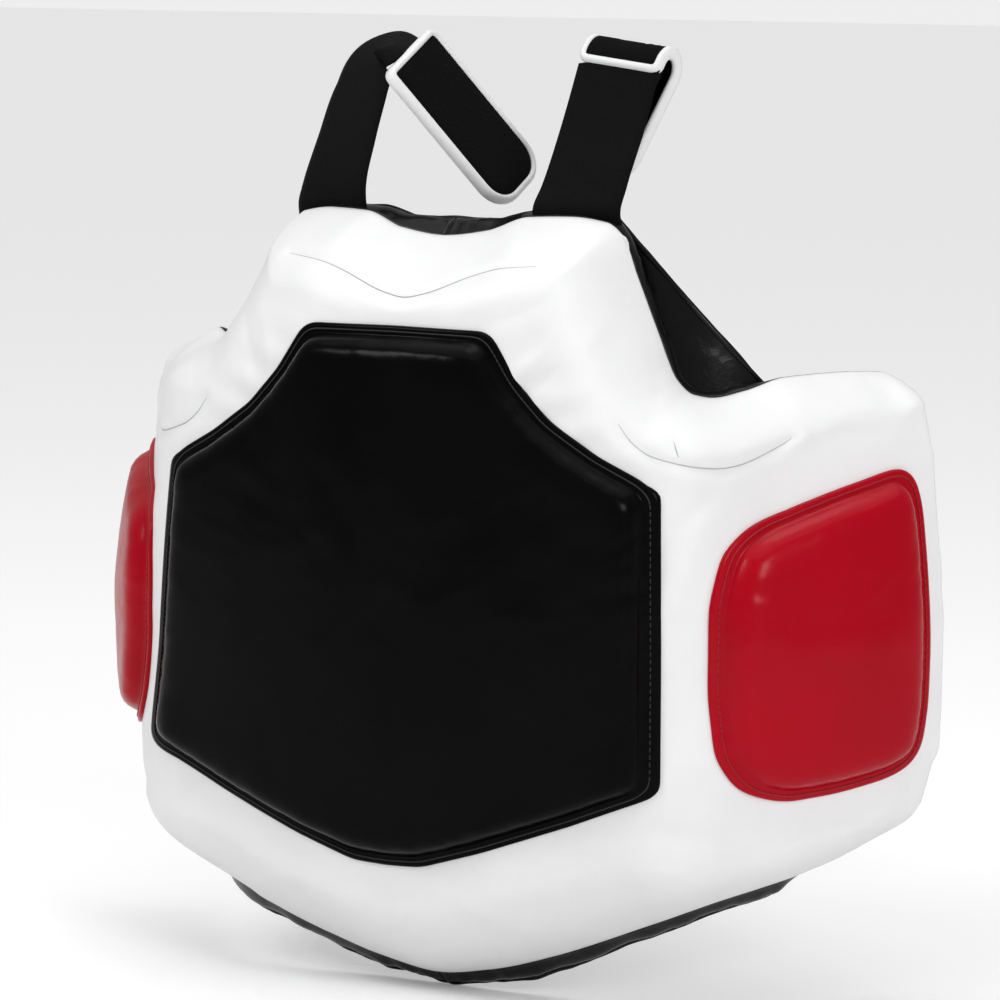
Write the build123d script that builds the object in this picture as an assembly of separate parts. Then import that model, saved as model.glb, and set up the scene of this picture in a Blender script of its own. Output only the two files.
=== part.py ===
"""Coach's chest protector: padded front with hinged side wings, raised targets and shoulder straps.

Frame: +X is the wearer's left, +Y runs back through the wearer's body, +Z is up. The origin lies on
the inner face of the liner at the middle of the chest. Left and right are the wearer's.
A place on the curved body is (s, z, t): s is the arc length round the liner's inner face from the
middle of the chest, z the height and t the distance out from that face.
"""
from build123d import *
import math
import os

# ---- plan curve of the liner's inner face (mm) ----
R_FRONT = 507.0        # chest radius
S_FRONT = 157.0        # arc length where the chest curve ends
R_CORNER = 102.0       # tight bend at the side of the body
S_CORNER = 216.0
R_WING = 406.0
S_END = 330.0          # rear edge of the wing
LEAN_Z = -69.0         # height where the body is furthest forward
LEAN_R = 1623.0        # side-view radius of the whole body

# ---- thicknesses (mm) ----
LINER_T = 3.0
BASE_FOAM_T = 17.0     # outer face of the firm base foam
EDGE_T = 20.0          # outer face of the cover along every edge
FRONT_T = 77.0
WING_T = 52.0
COVER = 2.0
GAP = 0.7              # clearance between neighbouring layers
FOAM_GAP = 3.0         # the thick foam stays clear of the sloping cover
FOAM_INSET = 12.0      # and of the outline
TARGET_RISE = 15.0
TARGET_FLANGE = 2.6

# ---- outline heights along s (mm): neck, shoulder, armhole, wing top; then the hem ----
TOP = [(0, 174), (32, 178), (62, 188), (92, 189), (116, 186), (127, 178), (138, 152), (154, 113),
       (166, 84), (175, 75.5), (186, 73.5), (204, 77.5), (232, 86), (275, 88), (306, 84), (320, 75),
       (327, 60), (330, 40)]
HEM = [(0, -327), (40, -321), (90, -306), (150, -282), (200, -262), (250, -249), (295, -234),
       (316, -220), (326, -200), (330, -178)]
TOP_ROUND = 42.0       # width of the sloping border under the top edge
HEM_ROUND = 58.0
END_ROUND = 15.0
LINER_DROP = 11.0      # liner shown below the hem
LINER_RISE = 9.0       # liner shown above the neck
LINER_FADE_S = 80.0    # where the liner comes level with the cover again
NECK_HALF = 60.0
SHOULDER_S = 124.0
FLAP_S = 118.0         # the liner's straight cut past the armhole starts here
FLAP_Z = 187.0
TOP_WALL_END_S = 323.0
END_WALL_S = (328.1, 329.8)
END_WALL_Z = (-170.0, 38.0)

# ---- fold between the front and each wing ----
S_FOLD = 186.0
FOLD_GAP = 5.0         # half of the slot, so that the foam can fold

# ---- targets, as outlines in s and z ----
TARGET_FLAT = 2.0      # flat part of the flange
TARGET_BEVEL = 13.0    # width of the swelling from the flange to the full rise
TARGET_FOAM_INSET = 11.0
TARGET_FOAM_GAP = 1.5
TARGET_COVER_GAP = 0.6
FRONT_TARGET_S = 163.0
WING_TARGET_S = (192.0, 312.0)
FRONT_TARGET_TOP = [(0, 118), (58, 117), (64, 113), (80, 85), (100, 61), (128, 40), (154, 25), (163, 18)]
FRONT_TARGET_HEM = [(0, -241), (25, -240), (60, -227), (115, -204), (150, -187), (163, -178)]
WING_TARGET_TOP = [(192, -20), (197, -10), (206, -3), (222, 6), (260, 19), (292, 27), (303, 23), (312, 5)]
WING_TARGET_HEM = [(192, -163), (197, -175), (208, -184), (225, -186), (262, -183), (290, -175),
                   (303, -168), (312, -150)]

# ---- shoulder straps and their fastening tails ----
STRAP_W = 62.0
STRAP_T = 3.0
STRAP_S = 93.0         # middle of each strap on the shoulder
ROOT_T0 = 9.0          # the sewn root stands on the shoulder edge, between these two depths
ROOT_T1 = 12.5
ROOT_H = 7.0
HINGE_GAP = 1.3        # from a soft hinge line to the cloth on either side of it
TAIL_L = 126.0
TAIL_W = 60.0
TAIL_T = 6.0
TAIL_ROUND = 14.0
PIPING_R = 2.6
PATCH_T = 1.6
PATCH_GAP = 0.1
PATCH_MARGIN = 9.0
LOOP_MARGIN = 1.5
LEFT_STRAP_X = 92.0
LEFT_BASE = (18.0, 198.5)      # y and z where the left strap leaves its root
LEFT_BOW = 2.0                 # how far the left strap bows back at its middle
LEFT_SEAM = (73.0, 288.0)      # y and z of the seam between the left strap and its tail
LEFT_BEND_RUN = 8.0            # straight start of the left tail, before it turns over
LEFT_BEND_R = 12.0
LEFT_BEND_TURN = 184.0         # degrees
LEFT_BEND_LENGTH = 47.0        # part of the tail's length that the turn takes up
# Right strap: middle of the webbing, then the direction across it; it twists as it arches inward.
RIGHT_FRAMES = [((-97, 18, 199), (0.98, -0.19, 0.0)),
                ((-92, 27, 236), (0.91, -0.41, 0.0)),
                ((-88, 39, 270), (0.83, -0.56, 0.0)),
                ((-81, 46, 290), (0.62, -0.78, -0.06)),
                ((-70, 50, 298), (0.34, -0.91, -0.22)),
                ((-58, 51, 293), (0.10, -0.90, -0.42))]
RIGHT_TAIL_DOWN = (0.512, 0.396, -0.762)
RIGHT_TAIL_OUT = (0.854, -0.273, 0.432)

# ---- back belts ----
BELT_H = 50.0
BELT_T = 2.5
BELT_Z = -70.0
BELT_START = 4.0       # from the hinge line to the belt
BELT_DEPTH = 10.0
BELT_HEADING = 112.0   # degrees from +X, at the wing
BELT_R = 200.0
BELT_SWEEP = 46.0
BELT_RUN = 75.0        # flat end that carries the hook or loop patch
BELT_PATCH_L = 60.0
BELT_PATCH_H = 40.0

# ---- how finely the lofted surfaces are drawn ----
OUTLINE_STEP = 6
COVER_POINTS = 19
FOAM_POINTS = 13
PLAIN_POINTS = 9
NARROW_POINTS = 3
BEND_STEPS = 8
HALF_STATIONS = [12, 28, 45, 62, 76, 90, 104, 114, 121, 126, 131, 138, 146, 154, 161, 167, 173, 177,
                 S_FOLD - FOLD_GAP]
FRONT_STATIONS = [-s for s in reversed(HALF_STATIONS)] + HALF_STATIONS
WING_STATIONS = [S_FOLD + FOLD_GAP, 198, 207, 218, 232, 250, 268, 286, 302, 310, 316, 321, 325, 328]
HALF_TARGET_STATIONS = [12, 30, 45, 54, 59, 64, 70, 78, 88, 100, 114, 128, 140, 147, 152, 156, 160,
                        FRONT_TARGET_S]
WING_TARGET_STATIONS = [WING_TARGET_S[0], 195, 199, 203, 207, 213, 222, 235, 250, 265, 280, 290, 296,
                        300, 304, 308, WING_TARGET_S[1]]


def smooth(u):
    """Smoothstep of u, held between 0 and 1."""
    u = min(max(u, 0.0), 1.0)
    return u * u * (3.0 - 2.0 * u)


def curve_at(points, s):
    """Height at |s| of a smooth curve through the points that never overshoots between them."""
    s = min(max(abs(s), points[0][0]), points[-1][0])
    slopes = [(b[1] - a[1]) / (b[0] - a[0]) for a, b in zip(points, points[1:])]
    tangents = [0.0 if points[0][0] == 0 else slopes[0]]
    for left, right in zip(slopes, slopes[1:]):
        tangents.append(2 * left * right / (left + right) if left * right > 0 else 0.0)
    tangents.append(slopes[-1])
    for i, (a, b) in enumerate(zip(points, points[1:])):
        if s <= b[0]:
            h = b[0] - a[0]
            u = (s - a[0]) / h
            return ((1 + 2 * u) * (1 - u) ** 2 * a[1] + u * (1 - u) ** 2 * h * tangents[i]
                    + u * u * (3 - 2 * u) * b[1] + u * u * (u - 1) * h * tangents[i + 1])
    return points[-1][1]


def plan(s):
    """Plan position (x, y) of the inner face at s, and the heading of the outward direction there."""
    x = y = heading = 0.0
    start = 0.0
    for radius, end in ((R_FRONT, S_FRONT), (R_CORNER, S_CORNER), (R_WING, math.inf)):
        length = min(abs(s), end) - start
        if length <= 0:
            break
        turned = heading + length / radius
        x += radius * (math.sin(turned) - math.sin(heading))
        y += radius * (math.cos(heading) - math.cos(turned))
        heading = turned
        start = end
    return math.copysign(x, s), y, math.copysign(heading, s)


def place(s, z, t):
    """Point of the body at arc length s, height z and depth t."""
    x, y, heading = plan(s)
    out = t - (z - LEAN_Z) ** 2 / (2 * LEAN_R)
    return Vector(x + out * math.sin(heading), y - out * math.cos(heading), z)


OUTLINE = {name: [(s, curve_at(points, s)) for s in range(-int(S_END), int(S_END) + 1, OUTLINE_STEP)]
           for name, points in (("top", TOP), ("hem", HEM))}


def edge_distance(name, s, z):
    """Distance of (s, z) from the top edge or the hem."""
    best = math.inf
    points = OUTLINE[name]
    for (s0, z0), (s1, z1) in zip(points, points[1:]):
        ds, dz = s1 - s0, z1 - z0
        u = ((s - s0) * ds + (z - z0) * dz) / (ds * ds + dz * dz)
        u = min(max(u, 0.0), 1.0)
        best = min(best, math.hypot(s - s0 - u * ds, z - z0 - u * dz))
    return best


def cover_t(s, z):
    """Outer face of the cover: full thickness inside, sloping down to EDGE_T at every edge."""
    full = FRONT_T + (WING_T - FRONT_T) * smooth((abs(s) - S_FRONT) / (S_CORNER - S_FRONT))
    border = min(edge_distance("top", s, z) / TOP_ROUND,
                 edge_distance("hem", s, z) / HEM_ROUND,
                 (S_END - abs(s)) / END_ROUND, 1.0)
    return EDGE_T + (full - EDGE_T) * math.sin(max(border, 0.0) * math.pi / 2)


def slab(stations, low, high, inner, outer, count=PLAIN_POINTS):
    """Closed solid between two heights and two depths, each a function, lofted along s."""
    wires = []
    for s in stations:
        z0, z1 = low(s), high(s)
        heights = [z0 + (z1 - z0) * (1 - math.cos(math.pi * i / (count - 1))) / 2 for i in range(count)]
        inside = [place(s, z, inner(s, z)) for z in heights]
        outside = [place(s, z, outer(s, z)) for z in heights]
        wires.append(Wire([Edge.make_spline(inside),
                           Edge.make_line(inside[-1], outside[-1]),
                           Edge.make_spline(list(reversed(outside))),
                           Edge.make_line(outside[0], inside[0])]))
    return Solid.make_loft(wires)


def top(s):
    return curve_at(TOP, s)


def hem(s):
    return curve_at(HEM, s)


def depth(value):
    """A depth that is the same everywhere."""
    return lambda s, z: value


def mirrored(solid):
    return solid.mirror(Plane.YZ)


parts = {}


def body_layers(name, stations):
    """Liner, two foams, cover and hem wall of the front or of one wing."""
    liner_top = liner_front_top if name == "front" else liner_wing_top
    parts[name + "_liner"] = slab(stations, lambda s: hem(s) - LINER_DROP, liner_top,
                                  depth(0.0), depth(LINER_T))
    parts[name + "_base_foam"] = slab(stations, lambda s: hem(s) + COVER + GAP,
                                      lambda s: top(s) - COVER - 2 * GAP,
                                      depth(LINER_T + GAP), depth(BASE_FOAM_T))
    foam_stations = [s for s in stations if abs(s) <= S_END - END_ROUND / 2]
    parts[name + "_top_foam"] = slab(foam_stations, lambda s: hem(s) + FOAM_INSET, lambda s: top(s) - FOAM_INSET,
                                     depth(BASE_FOAM_T + GAP),
                                     lambda s, z: cover_t(s, z) - COVER - FOAM_GAP, COVER_POINTS)
    parts[name + "_cover"] = slab(stations, hem, top, lambda s, z: cover_t(s, z) - COVER, cover_t, COVER_POINTS)
    parts[name + "_hem_wall"] = wall(stations, hem, 1)


def wall(stations, edge, side):
    """Narrow strip that closes the foam along an edge, from the liner out to the cover."""
    inner, outer = depth(LINER_T + GAP), depth(EDGE_T - COVER - GAP)
    low, high = (edge, lambda s: edge(s) + COVER) if side > 0 else (lambda s: edge(s) - COVER, edge)
    return slab(stations, low, high, inner, outer, NARROW_POINTS)


def liner_front_top(s):
    """The liner stands above the neck and runs straight down past the armhole."""
    rise = LINER_RISE * (1 - smooth(abs(s) / LINER_FADE_S))
    return max(top(s) + rise, FLAP_Z - (abs(s) - FLAP_S)) if abs(s) > FLAP_S else top(s) + rise


def liner_wing_top(s):
    """The straight cut goes on over the wing until it meets the outline."""
    return max(top(s), FLAP_Z - (s - FLAP_S))


def target(name, stations, low_points, high_points, edge_s):
    """Raised target: a sewn cover with a flat flange, and its foam block."""
    def low(s):
        return curve_at(low_points, s)

    def high(s):
        return curve_at(high_points, s)

    def rise(s, z):
        inside = min(z - low(s), high(s) - z, min(abs(abs(s) - edge) for edge in edge_s))
        share = smooth((inside - TARGET_FLAT) / TARGET_BEVEL)
        return cover_t(s, z) + TARGET_FLANGE + (TARGET_RISE - TARGET_FLANGE) * share

    inner_stations = [s for s in stations if min(abs(abs(s) - edge) for edge in edge_s) > TARGET_FOAM_INSET - COVER]
    parts[name + "_cover"] = slab(stations, low, high, lambda s, z: rise(s, z) - COVER + TARGET_COVER_GAP, rise,
                                  COVER_POINTS)
    parts[name + "_foam"] = slab(inner_stations,
                                 lambda s: low(s) + TARGET_FOAM_INSET, lambda s: high(s) - TARGET_FOAM_INSET,
                                 lambda s, z: cover_t(s, z) + 2 * TARGET_COVER_GAP,
                                 lambda s, z: rise(s, z) - COVER - TARGET_FOAM_GAP, FOAM_POINTS)


# ---- front, fixed to the wearer ----
body_layers("front", FRONT_STATIONS)
parts["neck_wall"] = wall([s for s in FRONT_STATIONS if abs(s) < NECK_HALF], top, -1)
parts["left_armhole_wall"] = wall([s for s in FRONT_STATIONS if s > SHOULDER_S], top, -1)
parts["right_armhole_wall"] = mirrored(parts["left_armhole_wall"])
target("front_target", [-s for s in reversed(HALF_TARGET_STATIONS)] + HALF_TARGET_STATIONS,
       FRONT_TARGET_HEM, FRONT_TARGET_TOP, [FRONT_TARGET_S])

# ---- wings: the left one is built and mirrored ----
body_layers("left_wing", WING_STATIONS)
parts["left_wing_top_wall"] = wall([s for s in WING_STATIONS if s < TOP_WALL_END_S], top, -1)
parts["left_wing_end_wall"] = slab(END_WALL_S, lambda s: END_WALL_Z[0], lambda s: END_WALL_Z[1],
                                   depth(LINER_T + GAP), depth(EDGE_T - COVER - GAP))
target("left_wing_target", WING_TARGET_STATIONS, WING_TARGET_HEM, WING_TARGET_TOP, WING_TARGET_S)
for name in [name for name in parts if name.startswith("left_wing")]:
    parts[name.replace("left", "right", 1)] = mirrored(parts[name])

# ---- shoulder straps ----
def ribbon(frames, width, thickness):
    """Band through (middle, across) frames, lofted smoothly, with its flat side square to its run."""
    middles = [Vector(*middle) for middle, across in frames]
    wires = []
    for i, (middle, across) in enumerate(frames):
        run = middles[min(i + 1, len(frames) - 1)] - middles[max(i - 1, 0)]
        side = Vector(*across).normalized() * (width / 2)
        up = side.cross(run).normalized() * (thickness / 2)
        corners = [middles[i] + side + up, middles[i] - side + up, middles[i] - side - up, middles[i] + side - up]
        wires.append(Wire.make_polygon(corners, close=True))
    return Solid.make_loft(wires)


def strap_root(side):
    """Doubled webbing sewn into the shoulder edge, which flares a little at its foot."""
    half = STRAP_W / 2
    stations = [STRAP_S - half - 3, STRAP_S - half + 4, STRAP_S, STRAP_S + half - 4, STRAP_S + half - 1]
    root = slab(stations, lambda s: top(s) + 0.5, lambda s: top(s) + ROOT_H, depth(ROOT_T0), depth(ROOT_T1), 3)
    return root if side > 0 else mirrored(root)


def tail_pieces(side, start, down, out, length):
    """Flat fastening tail: core, edge piping, loop face outside and hook patch inside."""
    down, out = Vector(*down).normalized(), Vector(*out).normalized()
    middle = start + down * (HINGE_GAP + PIPING_R + length / 2)
    plane = Plane(origin=middle, x_dir=down, z_dir=out)

    def plate(trim, low, high):
        outline = RectangleRounded(length - 2 * trim, TAIL_W - 2 * trim, TAIL_ROUND - trim / 2)
        return plane * Pos(0, 0, low) * extrude(outline, high - low)

    parts[side + "_tail_core"] = plate(0, -TAIL_T / 2, TAIL_T / 2)
    rim = RectangleRounded(length + 2 * PIPING_R, TAIL_W + 2 * PIPING_R, TAIL_ROUND + PIPING_R)
    rim -= RectangleRounded(length + 2 * PATCH_GAP, TAIL_W + 2 * PATCH_GAP, TAIL_ROUND)
    parts[side + "_tail_piping"] = plane * Pos(0, 0, -PIPING_R) * extrude(rim, 2 * PIPING_R)
    face = TAIL_T / 2 + PATCH_GAP
    parts[side + "_tail_loop_face"] = plate(LOOP_MARGIN, face, face + PATCH_T)
    parts[side + "_tail_hook_patch"] = plate(PATCH_MARGIN, -face - PATCH_T, -face)


def beyond(frames, distance):
    """The frames with the last one moved back along the run, to leave room for a hinge line."""
    last, before = Vector(*frames[-1][0]), Vector(*frames[-2][0])
    moved = last - (last - before).normalized() * distance
    return frames[:-1] + [(tuple(moved), frames[-1][1])]


parts["left_strap_root"] = strap_root(1)
parts["right_strap_root"] = strap_root(-1)
left_base = Vector(LEFT_STRAP_X, *LEFT_BASE)
left_seam = Vector(LEFT_STRAP_X, *LEFT_SEAM)
left_run = (left_seam - left_base).normalized()
across = (1.0, 0.0, 0.0)
parts["left_strap"] = ribbon([(tuple(left_base + left_run * 0.2), across),
                              (tuple((left_base + left_seam) * 0.5 + Vector(0, LEFT_BOW, 0)), across),
                              (tuple(left_seam - left_run * HINGE_GAP), across)], STRAP_W, STRAP_T)
bend = [left_seam + left_run * HINGE_GAP, left_seam + left_run * LEFT_BEND_RUN]
hub = bend[-1] + Vector(0, left_run.Z, -left_run.Y) * LEFT_BEND_R
for step in range(1, BEND_STEPS + 1):
    angle = math.radians(LEFT_BEND_TURN * step / BEND_STEPS)
    spoke = bend[1] - hub
    bend.append(hub + Vector(0, spoke.Y * math.cos(angle) + spoke.Z * math.sin(angle),
                             spoke.Z * math.cos(angle) - spoke.Y * math.sin(angle)))
parts["left_tail_bend"] = ribbon([(tuple(point), across) for point in bend], TAIL_W, TAIL_T)
angle = math.atan2(left_run.Z, left_run.Y) - math.radians(LEFT_BEND_TURN)
left_down = Vector(0, math.cos(angle), math.sin(angle))
left_out = Vector(0, -left_down.Z, left_down.Y)
tail_pieces("left", bend[-1], tuple(left_down), tuple(left_out), TAIL_L - LEFT_BEND_LENGTH)
parts["right_strap"] = ribbon(beyond(RIGHT_FRAMES, HINGE_GAP), STRAP_W, STRAP_T)
tail_pieces("right", Vector(*RIGHT_FRAMES[-1][0]), RIGHT_TAIL_DOWN, RIGHT_TAIL_OUT, TAIL_L - 2 * PIPING_R)


# ---- back belts, built on the left and mirrored ----
def arc_band(hub, radius, start, sweep, thickness):
    """Plan outline of a band along an arc."""
    inner, outer = radius - thickness / 2, radius + thickness / 2
    a0, a1 = math.radians(start), math.radians(start + sweep)
    am = (a0 + a1) / 2

    def at(r, a):
        return hub + Vector(r * math.cos(a), r * math.sin(a), 0)

    return Face(Wire([Edge.make_three_point_arc(at(outer, a0), at(outer, am), at(outer, a1)),
                      Edge.make_line(at(outer, a1), at(inner, a1)),
                      Edge.make_three_point_arc(at(inner, a1), at(inner, am), at(inner, a0)),
                      Edge.make_line(at(inner, a0), at(outer, a0))]))


hinge = place(S_END, BELT_Z, BELT_DEPTH)
heading = math.radians(BELT_HEADING)
first = Vector(hinge.X, hinge.Y, 0) + Vector(math.cos(heading), math.sin(heading), 0) * BELT_START
hub = first + Vector(-math.sin(heading), math.cos(heading), 0) * BELT_R
band = extrude(Pos(0, 0, BELT_Z - BELT_H / 2) * arc_band(hub, BELT_R, BELT_HEADING - 90, BELT_SWEEP, BELT_T),
               BELT_H, dir=(0, 0, 1))
angle = math.radians(BELT_HEADING - 90 + BELT_SWEEP)
turn = hub + Vector(math.cos(angle), math.sin(angle), 0) * BELT_R
flat = Plane(origin=(turn.X, turn.Y, BELT_Z), x_dir=(-math.sin(angle), math.cos(angle), 0),
             z_dir=(math.cos(angle), math.sin(angle), 0))
run = flat * Pos(BELT_RUN / 2, 0, 0) * Box(BELT_RUN, BELT_H, BELT_T)
patch_depth = BELT_T / 2 + PATCH_GAP + PATCH_T / 2
patch = flat * Pos(BELT_RUN / 2, 0, patch_depth) * Box(BELT_PATCH_L, BELT_PATCH_H, PATCH_T)
parts["left_belt"] = (band + run).solid()
parts["left_belt_hook_patch"] = patch.solid()
parts["right_belt"] = mirrored(parts["left_belt"])
inside = flat * Pos(BELT_RUN / 2, 0, -patch_depth) * Box(BELT_PATCH_L, BELT_PATCH_H, PATCH_T)
parts["right_belt_loop_patch"] = mirrored(inside.solid())

os.makedirs("parts", exist_ok=True)
for name, solid in parts.items():
    export_step(solid, "parts/" + name + ".step")
print(len(parts), "nodes")
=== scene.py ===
"""Looks of the chest protector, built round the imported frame.

Metres, in the frame of the CAD: +X is the wearer's left, +Y runs back through the wearer, +Z is up.
A place on the curved body is (s, z, t): the arc length round the liner's inner face from the middle
of the chest, the height, and the distance out from that face.
"""
import math

import bmesh
import bpy
import numpy as np
from mathutils import Matrix, Vector


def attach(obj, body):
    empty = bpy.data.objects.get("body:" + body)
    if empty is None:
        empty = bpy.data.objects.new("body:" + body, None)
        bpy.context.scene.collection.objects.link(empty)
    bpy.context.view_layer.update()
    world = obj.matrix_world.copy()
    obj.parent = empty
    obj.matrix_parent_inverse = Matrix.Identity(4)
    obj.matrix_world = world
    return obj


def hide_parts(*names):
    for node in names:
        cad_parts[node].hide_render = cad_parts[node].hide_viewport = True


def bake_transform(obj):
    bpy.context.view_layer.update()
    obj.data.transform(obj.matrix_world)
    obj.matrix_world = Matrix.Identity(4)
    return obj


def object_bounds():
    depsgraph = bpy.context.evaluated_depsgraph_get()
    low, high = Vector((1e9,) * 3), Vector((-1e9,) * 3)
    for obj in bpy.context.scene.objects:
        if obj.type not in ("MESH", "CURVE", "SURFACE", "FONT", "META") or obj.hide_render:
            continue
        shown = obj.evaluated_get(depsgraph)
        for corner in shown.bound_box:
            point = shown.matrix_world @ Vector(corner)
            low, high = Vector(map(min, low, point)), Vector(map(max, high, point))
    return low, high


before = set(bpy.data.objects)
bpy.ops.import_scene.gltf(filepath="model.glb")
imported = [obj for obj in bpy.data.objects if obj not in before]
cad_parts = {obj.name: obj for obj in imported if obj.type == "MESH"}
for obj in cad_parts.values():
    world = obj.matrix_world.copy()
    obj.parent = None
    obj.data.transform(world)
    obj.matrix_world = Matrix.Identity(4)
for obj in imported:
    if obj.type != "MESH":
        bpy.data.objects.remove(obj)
CAD_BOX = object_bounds()
SIDES = (("left", 1.0), ("right", -1.0))

# ---- body: the CAD's curve and, but for the stuffing and the right side's play, its outline ----
PLAN_ARCS = ((0.507, 0.157), (0.102, 0.216), (0.406, math.inf))   # radius, arc length where it ends
S_FRONT, S_CORNER = 0.157, 0.216
S_END, S_HINGE = 0.333, 0.330        # rear edge of the padding, and of the belt's hinge
S_FOLD, FOLD_T = 0.186, 0.024
LEAN_Z, LEAN_R = -0.069, 1.623
LINER_T, EDGE_T = 0.003, 0.020
FRONT_T = 0.077
WING_HIGH_T, WING_LOW_T = 0.053, 0.063     # the stuffed wings are fuller low down
FULLER_Z, FULLER_RUN = 0.03, 0.13          # from this height down, over this much of it
CORNER_SWELL, SWELL_REACH = 0.008, 0.035   # the soft corners swell over the hem
SWELL_Z, SWELL_RUN = -0.10, 0.10           # likewise, from this height down
TOP_ROUND, HEM_ROUND, END_ROUND = (0.052, 0.036), (0.058, 0.040), 0.013    # front, wing
REAR_ROUND_CUT = 0.020                     # the rounding gets this much tighter at the wing's rear corners
WING_ROUND_S, WING_ROUND_RUN = 0.130, 0.050          # where the front's rounding turns into the wing's
REAR_ROUND_S, REAR_ROUND_RUN = 0.290, 0.030          # and where that of the rear corners starts
TOP = [(0, .174), (.032, .178), (.062, .188), (.092, .189), (.116, .186), (.127, .178), (.138, .152),
       (.154, .113), (.166, .084), (.175, .0755), (.186, .0735), (.204, .0775), (.232, .086),
       (.275, .088), (.306, .087), (.322, .080), (.330, .066), (.333, .045)]
HEM = [(0, -.327), (.040, -.321), (.090, -.306), (.150, -.282), (.200, -.262), (.250, -.249),
       (.295, -.234), (.318, -.220), (.329, -.200), (.333, -.178)]
LINER_DROP, LINER_RISE, NECK_HALF = 0.011, 0.009, 0.080
BAND_DIP, BAND_S, BAND_RUN = 1.5, 0.238, 0.035       # how the band under the hem goes out of sight
LINER_WAVE = {1: 0.0016, -1: 0.0028}                 # waves of the liner's lower edge: left, right
LINER_WRINKLE, LINER_CALM = 0.0011, 0.020            # the liner's wrinkles fade this near its edges
ROLL_R, ROLL_LUMP = 0.0024, 0.0006   # the liner's rolled edge
# How far the wearer's right half of the hem hangs out and down, and its wing stands up beside the armhole.
HANG, HANG_S, HANG_REACH = 0.018, -0.145, 0.068
HANG_TALL, HANG_FADE = 0.045, 0.050  # height over the hem where it hangs no more, and over which it fades
HANG_DROP, HANG_DROP_S, HANG_DROP_REACH = 0.014, -0.182, 0.050
RIGHT_WING_RISE, RISE_S, RISE_REACH = 0.024, -0.186, 0.036
RIGHT_CUT_SLOPE = 2.0                # the liner is cut lower past the wearer's right armhole
WRAP_START, WRAP_REACH = {1: 0.208, -1: 0.146}, 0.022   # left, right: the cover wraps over the top edge
WRAP_DROP, WRAP_LOW = 0.007, 0.006   # and the liner's and the wall's edges lie that much lower
FLAP_S, FLAP_Z = 0.118, 0.187        # the liner's straight cut past the armhole starts here

# ---- cover: skins, seams, creases and folds, in (s, z) ----
COVER_GRID, LINER_GRID = (201, 250), (137, 130)      # points along s, along z
COVER_SKIN, WALL_SKIN = 0.0016, 0.0012
WALL_IN = 0.0012       # how far the wall starts inside the cover's edge
OVERLAP = 0.008        # how far each half runs past the middle of the chest, just under the other
TUCK = 0.0001          # how far under
WALL_STEPS = 11        # points across the wall
WALL_BULGE, WALL_WAVE, WALL_PUCKER = 0.0028, 0.0009, 0.0005
NECK_LEVEL = 0.024     # within this of the neck's middle the wall turns to face straight up
FOLD_REACH = 0.030     # half the length of a run across the soft corner
NECK_CREASE = [(-.089, .160), (-.062, .157), (-.040, .149), (-.018, .140), (.002, .135), (.020, .140),
               (.040, .150), (.060, .157), (.084, .159)]
ARM_CREASE = [(.139, .060), (.146, .049), (.158, .040), (.172, .034), (.186, .031), (.196, .034),
              (.208, .041), (.221, .050)]
ARM_TUCK = [(.1665, .050), (.1675, .045), (.1687, .040)]
NECK_GROOVE, ARM_GROOVE, TUCK_GROOVE = (.0026, .0014), (.0030, .0015), (.0022, .0010)    # width, depth
THREAD_R = 0.00042     # sewn line of a crease
UNEVEN = 0.0006        # height of the cover's unevenness and of the puckers at its edges
PUCKER_REACH, EDGE_CALM = 0.010, 0.004     # how far the puckers reach in, and within what all relief fades
PULLS_AT, PULLS_TURN = (.105, .070), (.75, .66)      # the pulls under an armhole, and their direction
PULLS_HEIGHT, PULLS_WIDTH, PULLS_LENGTH = 0.0009, 0.018, 0.045
# Soft folds of the white cover: place, slope in degrees, half length, half width, height.
FOLDS = [((.088, .098), 62, .030, .0055, .0016), ((.100, .092), 58, .026, .0045, -.0014),
         ((.112, .104), 66, .030, .0060, .0014), ((.076, .128), 40, .022, .0050, -.0010),
         ((-.090, .100), -60, .028, .0055, .0013), ((-.104, .096), -56, .024, .0045, -.0012),
         ((.170, -.040), 85, .060, .0070, .0010), ((.176, .005), 75, .030, .0050, -.0010),
         ((.262, .052), 12, .040, .0060, -.0012), ((.285, .066), 8, .030, .0055, .0012),
         ((.230, .050), 30, .028, .0055, .0012), ((-.230, .050), -30, .028, .0055, .0012),
         ((.060, -.270), -20, .060, .0075, .0010), ((-.080, -.262), 24, .060, .0075, .0010),
         ((.190, -.215), -14, .045, .0070, -.0012), ((-.190, -.215), 14, .045, .0070, -.0012),
         ((.270, -.212), 8, .040, .0060, .0012), ((-.270, -.212), -8, .040, .0060, .0012),
         ((.322, -.060), 88, .060, .0035, -.0008), ((-.322, -.060), 92, .060, .0035, -.0008)]
TUBE_GUIDE = (0.3, 0.2, 0.93)        # any direction that no thin tube runs along

# ---- targets ----
FRONT_TARGET = [(0, .118), (.058, .117), (.064, .113), (.080, .085), (.100, .061), (.128, .040), (.154, .025),
                (.1625, .0175), (.1635, -.080), (.164, -.176), (.160, -.183), (.115, -.204), (.060, -.227),
                (.022, -.2405), (0, -.2415)]
WING_TARGET = [(.181, -.056), (.181, -.115), (.184, -.156), (.193, -.178), (.212, -.188), (.248, -.185),
               (.283, -.178), (.299, -.171), (.307, -.159), (.310, -.130), (.310, -.030), (.3095, .000),
               (.306, .018), (.300, .0265), (.290, .0270), (.250, .0155), (.214, .003), (.197, -.006),
               (.186, -.022)]
TARGET_MID_Z, RIGHT_TARGET_TALL, RIGHT_TARGET_DROP = -0.084, 0.90, 0.003
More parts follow.
